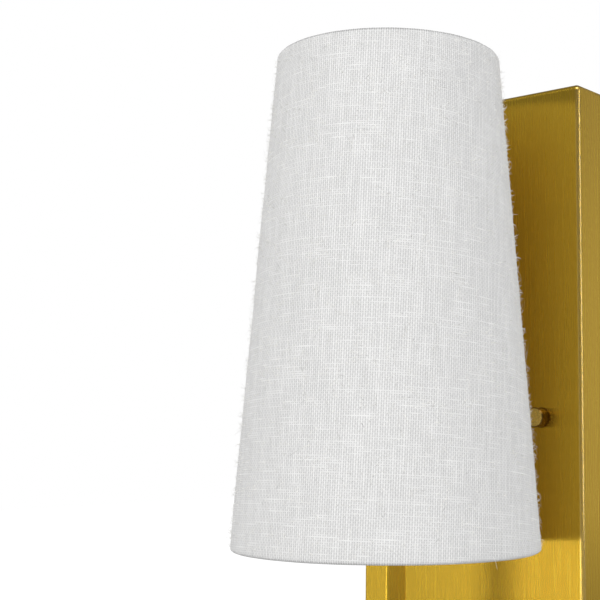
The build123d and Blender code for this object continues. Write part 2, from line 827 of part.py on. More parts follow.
with BuildPart() as bulb_contact:
    with BuildSketch(level(tip_z)):
        Circle(bulb_tip_r)
    extrude(amount=bulb_tip_height)
    fillet(bulb_contact.faces().sort_by(Axis.Z)[0].edges(), bulb_tip_height / 2)
bulb_contact.part.label = "bulb_contact"
export_step(bulb_contact.part, "parts/bulb_contact.step")

with BuildPart() as bulb_insulator:
    with Locations((0, axis_y, insulator_z + bulb_insulator_height / 2)):
        Cone(bulb_tip_r, thread_root_r, bulb_insulator_height)
bulb_insulator.part.label = "bulb_insulator"
export_step(bulb_insulator.part, "parts/bulb_insulator.step")

with BuildPart() as bulb_cap:
    with BuildSketch(upright):
        with BuildLine():
            for i in range(bulb_thread_turns):
                z = bulb_cap_z + i * bulb_thread_pitch
                ThreePointArc(
                    (thread_root_r, z),
                    (bulb_cap_r, z + bulb_thread_pitch / 2),
                    (thread_root_r, z + bulb_thread_pitch),
                )
            Polyline(
                (thread_root_r, bulb_cap_z + bulb_thread_turns * bulb_thread_pitch),
                (thread_root_r, neck_z),
                (thread_root_r - bulb_cap_sheet, neck_z),
                (thread_root_r - bulb_cap_sheet, bulb_cap_z),
                (thread_root_r, bulb_cap_z),
            )
        make_face()
    revolve(axis=shade_axis)
bulb_cap.part.label = "bulb_cap"
export_step(bulb_cap.part, "parts/bulb_cap.step")

# three solids of revolution: the bulb's outside, its hollow, and what fits inside the hollow
bulb_cores = []
for inset in (0, bulb_wall, bulb_wall + seat_gap):
    neck_r = bulb_neck_r - inset
    side_r = bulb_r - inset
    with BuildPart() as bulb_core:
        with BuildSketch(upright):
            with BuildLine():
                Spline((neck_r, neck_z), (side_r, widest_z), tangents=((bulb_neck_lean, 1), (0, 1)))
                ThreePointArc(
                    (side_r, widest_z),
                    (side_r * cos(pi / 4), widest_z + side_r * sin(pi / 4)),
                    (0, widest_z + side_r),
                )
                Polyline((0, widest_z + side_r), (0, neck_z), (neck_r, neck_z))
            make_face()
        revolve(axis=shade_axis)
    bulb_cores.append(bulb_core.part)
bulb_outside, bulb_hollow, board_space = bulb_cores

with BuildPart() as bulb_skin:
    add(bulb_outside)
    add(bulb_hollow, mode=Mode.SUBTRACT)

with BuildPart() as bulb_housing:
    add(bulb_skin.part)
    split(bisect_by=level(seam_z), keep=Keep.BOTTOM)
bulb_housing.part.label = "bulb_housing"
export_step(bulb_housing.part, "parts/bulb_housing.step")

with BuildPart() as bulb_dome:
    add(bulb_skin.part)
    split(bisect_by=level(seam_z), keep=Keep.TOP)
bulb_dome.part.label = "bulb_dome"
export_step(bulb_dome.part, "parts/bulb_dome.step")

with BuildPart() as led_board:
    with BuildSketch(level(seam_z)):
        Circle(bulb_r)
    extrude(amount=-led_board_thick)
    add(board_space, mode=Mode.INTERSECT)
led_board.part.label = "led_board"
export_step(led_board.part, "parts/led_board.step")

with BuildPart() as led_chips:
    with BuildSketch(level(seam_z)):
        with PolarLocations(led_ring_r, led_count):
            Rectangle(led_side, led_side)
    extrude(amount=led_height)
led_chips.part.label = "led_chips"
export_step(led_chips.part, "parts/led_chips.step")
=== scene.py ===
import math

import bpy
import numpy as np
from mathutils import Matrix


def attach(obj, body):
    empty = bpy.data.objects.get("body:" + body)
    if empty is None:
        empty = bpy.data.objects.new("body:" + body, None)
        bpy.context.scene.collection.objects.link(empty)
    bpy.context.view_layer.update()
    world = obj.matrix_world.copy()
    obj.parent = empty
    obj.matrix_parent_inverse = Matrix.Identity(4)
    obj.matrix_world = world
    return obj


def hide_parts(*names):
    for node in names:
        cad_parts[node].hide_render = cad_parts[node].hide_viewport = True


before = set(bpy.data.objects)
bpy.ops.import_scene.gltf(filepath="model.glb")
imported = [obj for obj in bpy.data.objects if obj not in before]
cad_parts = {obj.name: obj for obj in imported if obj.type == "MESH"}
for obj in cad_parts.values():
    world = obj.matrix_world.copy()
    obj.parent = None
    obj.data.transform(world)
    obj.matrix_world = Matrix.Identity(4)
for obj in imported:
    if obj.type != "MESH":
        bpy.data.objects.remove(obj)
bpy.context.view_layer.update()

# ---------------------------------------------------------------------------------------------------
# The view. The light is seen from the room, from its right and a little below the shade's middle.
# The camera's place, aim and lens come from a fit to the edges of the shade, plate, column and knob.

shade_axis_y = -0.1016
eye_radius = 0.574785
eye_azimuth = math.radians(39.4373)
eye_height = -0.0069
aim_yaw = math.radians(38.9350)
aim_pitch = math.radians(5.9612)
aim_roll = math.radians(0.2401)
focal_pixels = 1256.15
centre_column = 398.01
picture_side = 600
sensor = 36.0

eye = np.array([
    eye_radius * math.sin(eye_azimuth),
    shade_axis_y - eye_radius * math.cos(eye_azimuth),
    eye_height,
])
ahead = np.array([
    -math.sin(aim_yaw) * math.cos(aim_pitch),
    math.cos(aim_yaw) * math.cos(aim_pitch),
    math.sin(aim_pitch),
])
level_right = np.array([math.cos(aim_yaw), math.sin(aim_yaw), 0.0])
level_up = np.cross(level_right, ahead)
right = math.cos(aim_roll) * level_right + math.sin(aim_roll) * level_up
up = math.cos(aim_roll) * level_up - math.sin(aim_roll) * level_right


def placed(across, upwards, back, place):
    """The matrix whose X, Y and Z axes are the three unit vectors given, at that place."""
    matrix = np.eye(4)
    matrix[:3, :3] = np.stack([across, upwards, back], axis=1)
    matrix[:3, 3] = place
    return Matrix(matrix.tolist())


camera_data = bpy.data.cameras.new("camera")
camera_data.sensor_width = sensor
camera_data.lens = focal_pixels / picture_side * sensor
camera_data.shift_x = (picture_side / 2 - centre_column) / picture_side
camera_data.clip_start = 0.01
camera = bpy.data.objects.new("camera", camera_data)
camera.matrix_world = placed(right, up, -ahead, eye)
bpy.context.scene.collection.objects.link(camera)
bpy.context.scene.camera = camera
bpy.context.scene.view_settings.view_transform = "Standard"

# ---------------------------------------------------------------------------------------------------
# The studio that the brass mirrors: grey low down all round, darker above that and towards the camera,
# and white straight back, where the wall is. From overhead comes white light, but mirrors see grey
# there. Three soft lamps stand in it, a pale floor lies well below, and the camera sees all of it white.


def put(tree, kind, at=None, **inputs):
    """Adds a node to a tree. at sets its properties by name. Each input, named with _ for a space, is
    a value or another node's output socket; an input called i0, i1 and so on is meant by its number."""
    node = tree.nodes.new("ShaderNode" + kind)
    for name, value in (at or {}).items():
        setattr(node, name, value)
    for name, value in inputs.items():
        by_number = name[0] == "i" and name[1:].isdigit()
        socket = node.inputs[int(name[1:]) if by_number else name.replace("_", " ")]
        if isinstance(value, bpy.types.NodeSocket):
            tree.links.new(value, socket)
        else:
            socket.default_value = value
    return node


def math_of(tree, operation, *values):
    """One Math node; returns its output."""
    inputs = {f"i{k}": value for k, value in enumerate(values)}
    return put(tree, "Math", {"operation": operation}, **inputs).outputs[0]


def blend_of(tree, factor, low, high):
    """A colour between low and high by the factor; returns the output."""
    return put(tree, "Mix", {"data_type": "RGBA"}, i0=factor, i6=low, i7=high).outputs[2]


def stretch_of(tree, value, low, high, to_low=0.0, to_high=1.0):
    """Maps a value's range low to high onto to_low to to_high, held at both ends."""
    return put(tree, "MapRange", i0=value, i1=low, i2=high, i3=to_low, i4=to_high).outputs[0]


white = (1.0, 1.0, 1.0, 1.0)
low_grey = (0.36, 0.36, 0.355, 1.0)
high_grey = (0.26, 0.26, 0.26, 1.0)
camera_grey = (0.24, 0.24, 0.24, 1.0)
high_grey_rise = (0.12, 0.22)
overhead_rise = (0.35, 0.60)
to_wall = (0.0, 1.0, 0.0)
wall_spread = (0.77, 0.97)
to_camera = (0.63, -0.77, 0.0)
camera_spread = (0.4, 0.8)

world = bpy.data.worlds.new("surround")
world.use_nodes = True
bpy.context.scene.world = world
tree = world.node_tree
tree.nodes.clear()
rays = put(tree, "LightPath").outputs
looking = put(tree, "TexCoord").outputs["Generated"]
rise = put(tree, "SeparateXYZ", Vector=looking).outputs["Z"]


def towards(direction, low, high):
    """How far a ray of the surround points in a direction: 0 below low, 1 above high."""
    along = put(tree, "VectorMath", {"operation": "DOT_PRODUCT"}, i0=looking, i1=direction)
    return stretch_of(tree, along.outputs["Value"], low, high)


colour = blend_of(tree, stretch_of(tree, rise, *high_grey_rise), low_grey, high_grey)
colour = blend_of(tree, towards(to_wall, *wall_spread), colour, white)
colour = blend_of(tree, towards(to_camera, *camera_spread), colour, camera_grey)
overhead = blend_of(tree, rays["Is Glossy Ray"], white, high_grey)
colour = blend_of(tree, stretch_of(tree, rise, *overhead_rise), colour, overhead)
around = put(tree, "Background", Color=colour)
clear = put(tree, "Background", Color=white)
seen = math_of(tree, "MAXIMUM", rays["Is Camera Ray"], rays["Is Transmission Ray"])
surround = put(tree, "MixShader", i0=seen, i1=around.outputs[0], i2=clear.outputs[0])
put(tree, "OutputWorld", Surface=surround.outputs[0])

# the floor glows white for the camera and grey for mirrors, with the object's shadow on it, and lights
# the object from below as plain matt paint does
floor_level = -1.5
floor_half = 20.0
floor_matt = (0.62, 0.62, 0.62, 1.0)
floor_shadowed = (0.30, 0.30, 0.30, 1.0)
floor_glow = 0.82
near_mirrored = (0.16, 0.16, 0.16, 1.0)
far_mirrored = (0.40, 0.40, 0.40, 1.0)
near_to_far = (8.0, 13.0)
floor_mesh = bpy.data.meshes.new("floor")
corners = ((-1, -1), (1, -1), (1, 1), (-1, 1))
floor_mesh.from_pydata(
    [(floor_half * x, floor_half * y, floor_level) for x, y in corners], [], [(0, 1, 2, 3)]
)
floor = bpy.data.objects.new("floor", floor_mesh)
bpy.context.scene.collection.objects.link(floor)

floor_paint = bpy.data.materials.new("pale_floor")
floor_paint.use_nodes = True
tree = floor_paint.node_tree
tree.nodes.clear()
rays = put(tree, "LightPath").outputs
matt = put(tree, "BsdfDiffuse", Color=floor_matt)
shadowed = put(tree, "BsdfDiffuse", Color=floor_shadowed)
back = put(tree, "SeparateXYZ", Vector=put(tree, "TexCoord").outputs["Object"]).outputs["Y"]
mirrored = blend_of(tree, stretch_of(tree, back, *near_to_far), near_mirrored, far_mirrored)
glow_colour = blend_of(tree, rays["Is Glossy Ray"], white, mirrored)
glow = put(tree, "Emission", Color=glow_colour, Strength=floor_glow)
pale = put(tree, "AddShader", i0=shadowed.outputs[0], i1=glow.outputs[0])
seen = math_of(tree, "MAXIMUM", rays["Is Camera Ray"], rays["Is Transmission Ray"])
seen = math_of(tree, "MAXIMUM", seen, rays["Is Glossy Ray"])
either = put(tree, "MixShader", i0=seen, i1=matt.outputs[0], i2=pale.outputs[0])
put(tree, "OutputMaterial", Surface=either.outputs[0])
floor_mesh.materials.append(floor_paint)


def soft_lamp(name, place, target, width, tall, watts, tint):
    """A rectangular area lamp at place, turned to face the target point."""
    data = bpy.data.lights.new(name, "AREA")
    data.shape = "RECTANGLE"
    data.size = width
    data.size_y = tall
    data.energy = watts
    data.color = tint
    back = np.array(place, float) - np.array(target, float)
    back /= np.linalg.norm(back)
    across = np.cross((0.0, 0.0, 1.0), back)
    across /= np.linalg.norm(across)
    lamp = bpy.data.objects.new(name, data)
    lamp.matrix_world = placed(across, np.cross(back, across), back, place)
    bpy.context.scene.collection.objects.link(lamp)


# the main lamp hangs high up behind the camera; the front lamp is small, and the shade keeps its light
# off the upper part of the plate; the tall right lamp draws the line down the plate's corner
middle_of_light = (0.0, -0.09, 0.03)
soft_lamp(
    "high_lamp", (1.30, -2.0, 2.4), middle_of_light,
    width=1.9, tall=1.9, watts=38.0, tint=(1.0, 0.995, 0.99),
)
soft_lamp(
    "front_lamp", (-0.20, -2.2, -0.12), middle_of_light,
    width=0.5, tall=0.8, watts=7.2, tint=(1.0, 0.995, 0.985),
)
soft_lamp(
    "right_lamp", (2.2, -0.30, 0.32), (0.0, -0.09, 0.32),
    width=0.18, tall=1.06, watts=5.3, tint=(0.99, 0.995, 1.0),
)

# ---------------------------------------------------------------------------------------------------
# The brass plate, arm, column and socket cup: folded sheet and mitred tube, brushed along their
# length and lacquered. Brushing leaves fine streaks that smear what the metal mirrors across them:
# level on an upright piece, and upright on a level one.


def new_group(name, takes, gives):
    """An empty node group; takes and gives are (socket name, kind) pairs. Returns the group, the
    sockets that its nodes read and the sockets that they fill."""
    group = bpy.data.node_groups.new(name, "ShaderNodeTree")
    for side, sockets in (("INPUT", takes), ("OUTPUT", gives)):
        for label, kind in sockets:
            group.interface.new_socket(label, in_out=side, socket_type="NodeSocket" + kind)
    reads = group.nodes.new("NodeGroupInput").outputs
    return group, reads, group.nodes.new("NodeGroupOutput").inputs


def new_material(name):
    """A material that holds a Principled BSDF; returns it, its tree and the BSDF's inputs."""
    material = bpy.data.materials.new(name)
    material.use_nodes = True
    tree = material.node_tree
    return material, tree, tree.nodes["Principled BSDF"].inputs


def use_group(tree, group, **inputs):
    """Places a node group in a tree with its inputs; returns its outputs."""
    return put(tree, "Group", {"node_tree": group}, **inputs).outputs


def noise_of(tree, place, scale, detail=2.0):
    """A noise value from 0 to 1 at a place."""
    return put(tree, "TexNoise", Vector=place, Scale=scale, Detail=detail).outputs["Fac"]


def times(tree, vector, factors):
    """A vector with each part multiplied by its own factor."""
    return put(tree, "VectorMath", {"operation": "MULTIPLY"}, i0=vector, i1=factors).outputs[0]


def dress(material, *nodes):
    """Gives the CAD pieces of these names the material."""
    for name in nodes:
        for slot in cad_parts[name].material_slots:
            slot.material = material


def weighed(tree, first, share, second):
    """Mixes two values: that share of the first, and the rest of the second."""
    rest = math_of(tree, "MULTIPLY", second, 1.0 - share)
    return math_of(tree, "MULTIPLY_ADD", first, share, rest)


fine_streaks = 4200.0
coarse_streaks = 950.0
fine_share = 0.5
streak_bands = 60.0

streaks, reads, fills = new_group(
    "brushed_streaks",
    [("Place", "Vector"), ("Depth", "Float")],
    [("Streak", "Float"), ("Band", "Float"), ("Normal", "Vector")],
)
fine = noise_of(streaks, reads["Place"], fine_streaks, 3.0)
coarse = noise_of(streaks, reads["Place"], coarse_streaks, 3.0)
streak = weighed(streaks, fine, fine_share, coarse)
relief = put(streaks, "Bump", Strength=reads["Depth"], Distance=0.00003, Height=streak)
streaks.links.new(streak, fills["Streak"])
streaks.links.new(noise_of(streaks, reads["Place"], streak_bands), fills["Band"])
streaks.links.new(relief.outputs[0], fills["Normal"])

brass_light = (0.735, 0.472, 0.046, 1.0)
brass_dark = (0.685, 0.434, 0.040, 1.0)
streak_share = 0.6
tone_span = (0.36, 0.64)
noise_span = (0.3, 0.7)
satin_smooth = 0.24
satin_rough = 0.29
grain_depth = 0.06
grain_squeeze = 0.02
upright_grain = (1.0, 1.0, grain_squeeze)
level_grain = (1.0, grain_squeeze, 1.0)


def brushed_brass(name, along, axis):
    """Satin brass, with streaks squeezed along one axis and smeared round another. Returns the
    material, its tree, the surface's inputs and the place on the object."""
    material, tree, surface = new_material(name)
    place = put(tree, "TexCoord").outputs["Object"]
    grain = use_group(tree, streaks, Place=times(tree, place, along), Depth=grain_depth)
    tone = weighed(tree, grain["Streak"], streak_share, grain["Band"])
    tone = stretch_of(tree, tone, *tone_span)
    satin = stretch_of(tree, grain["Streak"], *noise_span, satin_smooth, satin_rough)
    surface["Metallic"].default_value = 1.0
    surface["Anisotropic"].default_value = 1.0
    tree.links.new(blend_of(tree, tone, brass_dark, brass_light), surface["Base Color"])
    tree.links.new(satin, surface["Roughness"])
    tree.links.new(grain["Normal"], surface["Normal"])
    turn = put(tree, "Tangent", {"direction_type": "RADIAL", "axis": axis})
    tree.links.new(turn.outputs[0], surface["Tangent"])
    return material, tree, surface, place


# the lacquer runs thick on the plate's upright bends, so its own gloss shows there
plate_half = 0.0575
plate_face = -0.0254
plate_bend = 0.0023
bead_start = plate_bend
bead_full = 0.6 * plate_bend
bead_roughness = 0.12
bead_ior = 1.9

plate_brass, tree, surface, place = brushed_brass("brushed_brass_plate", upright_grain, "Z")
spot = put(tree, "SeparateXYZ", Vector=place).outputs
sideways = math_of(tree, "ABSOLUTE", spot["X"])
near_side = stretch_of(tree, sideways, plate_half - bead_start, plate_half - bead_full)
near_face = stretch_of(tree, spot["Y"], plate_face + bead_start, plate_face + bead_full)
tree.links.new(math_of(tree, "MULTIPLY", near_side, near_face), surface["Coat Weight"])
surface["Coat Roughness"].default_value = bead_roughness
surface["Coat IOR"].default_value = bead_ior
dress(plate_brass, "backplate")

upright_brass = brushed_brass("brushed_brass_upright", upright_grain, "Z")[0]
level_brass = brushed_brass("brushed_brass_level", level_grain, "Y")[0]
dress(upright_brass, "column_tube", "column_plug", "socket_cup")
dress(level_brass, "arm_tube", "arm_plug")

# ---------------------------------------------------------------------------------------------------
# The knobs and their washers: brass bar turned on a lathe and half polished. The tool leaves fine
# rings round each knob's own axis, so their light runs in rays from the middle of the face.

stud_x = 0.034925
knob_r = 0.00475
knob_chamfer = 0.00035
face_dull = (0.74, 0.57, 0.15, 1.0)
face_bright = (0.96, 0.75, 0.24, 1.0)
side_shade_brown = (0.21, 0.12, 0.028, 1.0)
knob_smooth = 0.20
knob_rough = 0.30
tool_rings = 5200.0
rub_marks = 900.0


def turned_brass(name, x):
    """Brass with fine rings round an axis along Y at x, by the distance from it: the face is rubbed
    bright, and the side and the rim of the face are painted dark brown, as painted shade."""
    material, tree, surface = new_material(name)
    place = put(tree, "TexCoord").outputs["Object"]
    moved = put(tree, "VectorMath", {"operation": "SUBTRACT"}, i0=place, i1=(x, 0.0, 0.0)).outputs[0]
    across = times(tree, moved, (1.0, 0.0, 1.0))
    distance = put(tree, "VectorMath", {"operation": "LENGTH"}, i0=across).outputs["Value"]
    ringed = put(tree, "CombineXYZ", X=distance).outputs[0]
    rings = noise_of(tree, ringed, tool_rings, 1.0)
    marks = noise_of(tree, place, rub_marks)
    surface["Metallic"].default_value = 1.0
    surface["Anisotropic"].default_value = 0.6
    face = blend_of(tree, marks, face_dull, face_bright)
    # the side and the rim of the face are painted dark brown: painted shade
    edge = stretch_of(tree, distance, knob_r - 1.5 * knob_chamfer, knob_r - knob_chamfer)
    tree.links.new(blend_of(tree, edge, face, side_shade_brown), surface["Base Color"])
    satin = stretch_of(tree, marks, *noise_span, knob_smooth, knob_rough)
    tree.links.new(satin, surface["Roughness"])
    relief = put(tree, "Bump", Strength=0.35, Distance=0.00002, Height=rings)
    tree.links.new(relief.outputs[0], surface["Normal"])
    turn = put(tree, "Tangent", {"direction_type": "RADIAL", "axis": "Y"})
    tree.links.new(turn.outputs[0], surface["Tangent"])
    return material


for side, x in (("left", -stud_x), ("right", stud_x)):
    dress(turned_brass("turned_brass_" + side, x), "knob_" + side, "knob_washer_" + side)

# ---------------------------------------------------------------------------------------------------
# The linen: one cut of loose plain weave with slubs, wrapped round a cone. Its long edges roll round
# the two wires and are glued down inside; its ends lap over each other at the back, by the wall.

shade_bottom_r = 0.06985
shade_top_r = 0.05175
shade_bottom_z = -0.0600
shade_top_z = 0.1655
wire_r = 0.0012
linen_thick = 0.0005
liner_thick = 0.0006
glue_gap = 0.00003
hem_slope = 0.004
hem_flat = 0.008
lap_width = 0.009
lap_turn = math.radians(12.0)
lap_lift = 0.0004
hem_steps = 5
fold_steps = 16
wall_steps = 36
columns_round = 420
columns_past_lap = (0.0004, 0.0012, 0.0030, 0.0060)
columns_before_lap = (0.0010, 0.0030)

taper = (shade_bottom_r - shade_top_r) / (shade_top_z - shade_bottom_z)
fold_r = wire_r + linen_thick
low_z = shade_bottom_z + fold_r
high_z = shade_top_z - fold_r


def wall_r(z):
    """The linen's outside radius at a height: a straight line from the bottom edge to the top."""
    return shade_bottom_r - taper * (z - shade_bottom_z)


def hem_r(z):
    """The radius of the turned-in hem's own outer skin, which faces the shade's axis."""
    return wall_r(z) - 2 * linen_thick - liner_thick - glue_gap


def line(start, end, count):
    """count points from start towards end, without the end."""
    steps = np.arange(count)[:, None] / count
    return np.array(start) * (1 - steps) + np.array(end) * steps


def arc(centre, start, end, count):
    """count points of radius fold_r round a centre, by the angle in degrees, without the last."""
    turn = np.radians(start + (end - start) * np.arange(count) / count)
    return np.stack([centre[0] + fold_r * np.cos(turn), centre[1] + fold_r * np.sin(turn)], axis=1)


low_centre = (wall_r(low_z) - fold_r, low_z)
high_centre = (wall_r(high_z) - fold_r, high_z)
low_slope = low_z + fold_r + hem_slope
high_slope = high_z - fold_r - hem_slope
low_end = low_slope + hem_flat
high_end = high_slope - hem_flat
profile = np.concatenate([
    line((hem_r(low_end), low_end), (hem_r(low_slope), low_slope), hem_steps),
    line((hem_r(low_slope), low_slope), (low_centre[0] - fold_r, low_z), hem_steps),
    arc(low_centre, -180, 0, fold_steps),
    line((wall_r(low_z), low_z), (wall_r(high_z), high_z), wall_steps),
    arc(high_centre, 0, 180, fold_steps),
    line((high_centre[0] - fold_r, high_z), (hem_r(high_slope), high_slope), hem_steps),
    line((hem_r(high_slope), high_slope), (hem_r(high_end), high_end), hem_steps),
    [(hem_r(high_end), high_end)],
])
run = np.concatenate([[0.0], np.cumsum(np.linalg.norm(np.diff(profile, axis=0), axis=1))])

# the columns are closer together at the lap, which is at the back: its free end is a small step
lap_angle = lap_width / shade_bottom_r
column_turn = np.sort(np.concatenate([
    np.linspace(0, 2 * np.pi, columns_round, endpoint=False),
    np.array(columns_past_lap),
    2 * np.pi - np.array(columns_before_lap),
]))
turn_after_lap = 2 * np.pi - column_turn
lift = lap_lift * np.clip(2 - turn_after_lap / lap_angle, 0, 1)
angle = np.pi / 2 + lap_turn + column_turn

# the glued cloth isn't quite round: it has waves, finer ripples, and small gathers along its hems
wave_depth = 0.00010
ripple_depth = 0.00007
gather_depth = 0.00009
gather_count = 190


def swells(count, first, rate, start):
    """sin(count * angle + first) * sin(rate * run + start), by column and by row."""
    return np.sin(count * angle + first)[:, None] * np.sin(rate * run + start)[None, :]


waves = swells(count=9, first=0.7, rate=60.0, start=1.1)
ripples = swells(count=23, first=2.0, rate=110.0, start=0.3)
in_hem = (profile[:, 1] < low_z) | (profile[:, 1] > high_z)
gathers = np.sin(gather_count * angle)[:, None] * in_hem[None, :]
uneven = wave_depth * waves + ripple_depth * ripples + gather_depth * gathers
radius = profile[None, :, 0] + lift[:, None] + uneven


def grid_faces(columns, rows):
    """Quads over a grid of columns by rows points, numbered row by row inside each column. The last
    column joins the first."""
    c = np.arange(columns)[:, None]
    r = np.arange(rows - 1)[None, :]
    after = (c + 1) % columns
    here, there = c * rows + r, after * rows + r
    return np.stack([here, there, there + 1, here + 1], axis=-1).reshape(-1, 4)


def new_piece(name, points, faces, body, material):
    """A smooth mesh piece at the origin, made of points in metres, that rides on a body."""
    mesh = bpy.data.meshes.new(name)
    mesh.from_pydata(points.reshape(-1, 3).tolist(), [], faces.tolist())
    mesh.shade_smooth()
    mesh.materials.append(material)
    piece = bpy.data.objects.new(name, mesh)
    bpy.context.scene.collection.objects.link(piece)
    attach(piece, body)
    return piece


weave, reads, fills = new_group(
    "plain_weave",
    [("Place", "Vector"), ("Warp Pitch", "Float"), ("Weft Pitch", "Float")],
    [("Height", "Float"), ("Slub", "Float"), ("Cloud", "Float")],
)

# the threads wander as they run, and each has its own slubs; each weft thread also stands up in places
wander_reach = 0.0005
wander_fast = 300.0
wander_slow = 15.0
warp_slub_scale = 60.0
warp_slub_span = (0.40, 0.75)
weft_slub_scale = 110.0
weft_slub_span = (0.52, 0.74)
slub_skip = 3.71
raised_scale = 75.0
raised_span = (0.50, 0.66)
raised_height = 0.26
raised_skip = 5.37
cloud_scale = 90.0

# a thread's height: its level, with a gain where it passes over, times how thick it is, which is even
# but for the swell of a slub
warp_level = 0.60
warp_over = 0.20
warp_even = 0.88
warp_swell = 0.26
weft_level = 0.32
weft_over = 0.28
weft_even = 0.92
weft_swell = 0.20

across_cut, up_cut = put(weave, "SeparateXYZ", Vector=reads["Place"]).outputs[:2]
wander_u = noise_of(weave, times(weave, reads["Place"], (wander_fast, wander_slow, 0.0)), 1.0)
wander_v = noise_of(weave, times(weave, reads["Place"], (wander_slow, wander_fast, 0.0)), 1.0)


def product(first, second):
    """The product of two values in the weave."""
    return math_of(weave, "MULTIPLY", first, second)


def threads(coordinate, wander, pitch):
    """Counts the threads along a coordinate that wanders: the whole part is the thread's number, and
    the rest is the place across it."""
    shift = product(math_of(weave, "SUBTRACT", wander, 0.5), wander_reach)
    return math_of(weave, "DIVIDE", math_of(weave, "ADD", coordinate, shift), pitch)


def rounded(count):
    """The round top of each thread: 1 - (2 * across - 1) ** 2, where across is the place across it."""
    signed = math_of(weave, "MULTIPLY_ADD", math_of(weave, "FRACT", count), 2.0, -1.0)
    return math_of(weave, "SUBTRACT", 1.0, product(signed, signed))


def thread_noise(x, y):
    """Noise that runs along a thread and starts afresh at the next, where one of the two numbers
    follows the thread and the other jumps by its number."""
    return noise_of(weave, put(weave, "CombineXYZ", X=x, Y=y).outputs[0], 1.0, 1.0)


warp_count = threads(across_cut, wander_u, reads["Warp Pitch"])
weft_count = threads(up_cut, wander_v, reads["Weft Pitch"])
warp_number = math_of(weave, "FLOOR", warp_count)
weft_number = math_of(weave, "FLOOR", weft_count)
swing = product(math_of(weave, "ADD", weft_count, warp_number), math.pi)
over = math_of(weave, "MULTIPLY_ADD", math_of(weave, "COSINE", swing), 0.5, 0.5)
under = math_of(weave, "SUBTRACT", 1.0, over)
warp_slub = thread_noise(product(warp_number, slub_skip), product(up_cut, warp_slub_scale))
weft_slub = thread_noise(product(across_cut, weft_slub_scale), product(weft_number, slub_skip))
raised = thread_noise(product(across_cut, raised_scale), product(weft_number, raised_skip))
warp_thick = stretch_of(weave, warp_slub, *warp_slub_span)
weft_thick = stretch_of(weave, weft_slub, *weft_slub_span)
raised = stretch_of(weave, raised, *raised_span, 0.0, raised_height)
warp_rise = product(
    math_of(weave, "MULTIPLY_ADD", over, warp_over, warp_level),
    math_of(weave, "MULTIPLY_ADD", warp_thick, warp_swell, warp_even),
)
weft_rise = product(
    math_of(weave, "ADD", math_of(weave, "MULTIPLY_ADD", under, weft_over, weft_level), raised),
    math_of(weave, "MULTIPLY_ADD", weft_thick, weft_swell, weft_even),
)
warp_top = product(rounded(warp_count), warp_rise)
weft_top = product(rounded(weft_count), weft_rise)
weave.links.new(math_of(weave, "MAXIMUM", warp_top, weft_top), fills["Height"])
weave.links.new(math_of(weave, "MAXIMUM", warp_thick, weft_thick), fills["Slub"])
weave.links.new(noise_of(weave, reads["Place"], cloud_scale), fills["Cloud"])

warp_pitch = 0.00101
weft_pitch = 0.00096
# the low places between the threads are painted darker than their tops, as painted shade
thread_gap_shade = (0.52, 0.52, 0.52, 1.0)
thread_high = (0.92, 0.92, 0.915, 1.0)
thread_span = (0.15, 0.75)
slub_white = (0.97, 0.97, 0.965, 1.0)
slub_share = 0.14
cloud_grey = (0.74, 0.74, 0.74, 1.0)
cloud_span = (0.35, 0.65)
cloud_share = 0.04
painted_fold_shade = (0.20, 0.20, 0.20, 1.0)
top_fold_edge = (shade_top_z - 0.0014, shade_top_z - 0.0007)
low_fold_edge = (shade_bottom_z + 0.0009, shade_bottom_z + 0.0003)
low_fold_share = 0.7
gap_span = (0.15, 0.60)
gap_share = 0.90
crown_share = 0.50

linen, tree, surface = new_material("white_linen")
flat_place = put(tree, "UVMap", {"uv_map": "flat_cut"}).outputs[0]
cloth = use_group(tree, weave, Place=flat_place, Warp_Pitch=warp_pitch, Weft_Pitch=weft_pitch)
thread = blend_of(tree, stretch_of(tree, cloth["Height"], *thread_span), thread_gap_shade, thread_high)
slubbed = blend_of(tree, math_of(tree, "MULTIPLY", cloth["Slub"], slub_share), thread, slub_white)
clouded = stretch_of(tree, cloth["Cloud"], *cloud_span, cloud_share, 0.0)
toned = blend_of(tree, clouded, slubbed, cloud_grey)

# the folds over the wires are painted darker, as painted shade of the wire under the cloth, most of all
# in the gaps between their threads
level = put(tree, "SeparateXYZ", Vector=put(tree, "TexCoord").outputs["Object"]).outputs["Z"]
top_fold = stretch_of(tree, level, *top_fold_edge)
low_fold = stretch_of(tree, level, *low_fold_edge, 0.0, low_fold_share)
gaps = stretch_of(tree, cloth["Height"], *gap_span, gap_share, crown_share)
fold_shade_mask = math_of(tree, "MULTIPLY", math_of(tree, "MAXIMUM", top_fold, low_fold), gaps)
tree.links.new(blend_of(tree, fold_shade_mask, toned, painted_fold_shade), surface["Base Color"])
surface["Roughness"].default_value = 0.92
surface["Specular IOR Level"].default_value = 0.15
surface["Sheen Weight"].default_value = 0.15
surface["Sheen Roughness"].default_value = 0.5
relief = put(tree, "Bump", Strength=0.35, Distance=0.0002, Height=cloth["Height"])
tree.links.new(relief.outputs[0], surface["Normal"])

points = np.stack([
    radius * np.cos(angle)[:, None],
    shade_axis_y + radius * np.sin(angle)[:, None],
    np.broadcast_to(profile[None, :, 1], radius.shape),
], axis=-1)
faces = grid_faces(len(angle), len(profile))
linen_shade = new_piece("linen_shade", points, faces, "shade", linen)

# the flat cut: the cone unrolled about its apex, so threads run true along the cut's middle line,
# which is at the front, and lean away from the cone's own lines towards the lap
slant_share = math.hypot(1.0, taper)
to_apex = shade_bottom_r / taper * slant_share
unroll = taper / slant_share
next_turn = np.append(column_turn[1:], 2 * np.pi)


def cut_place(turned, along):
    """Place in the flat cut of a point turned so far round and so far along the profile's run."""
    reach = to_apex - along
    lean = (turned - np.pi) * unroll
    return np.stack([reach * np.sin(lean), to_apex - reach * np.cos(lean)], axis=-1)


near = column_turn[:, None]
far = next_turn[:, None]
below = run[:-1][None, :]
above = run[1:][None, :]
cut = np.stack([
    cut_place(near, below), cut_place(far, below), cut_place(far, above), cut_place(near, above),
], axis=2)
uv_layer = linen_shade.data.uv_layers.new(name="flat_cut")
uv_layer.data.foreach_set("uv", cut.astype(np.float32).reshape(-1))

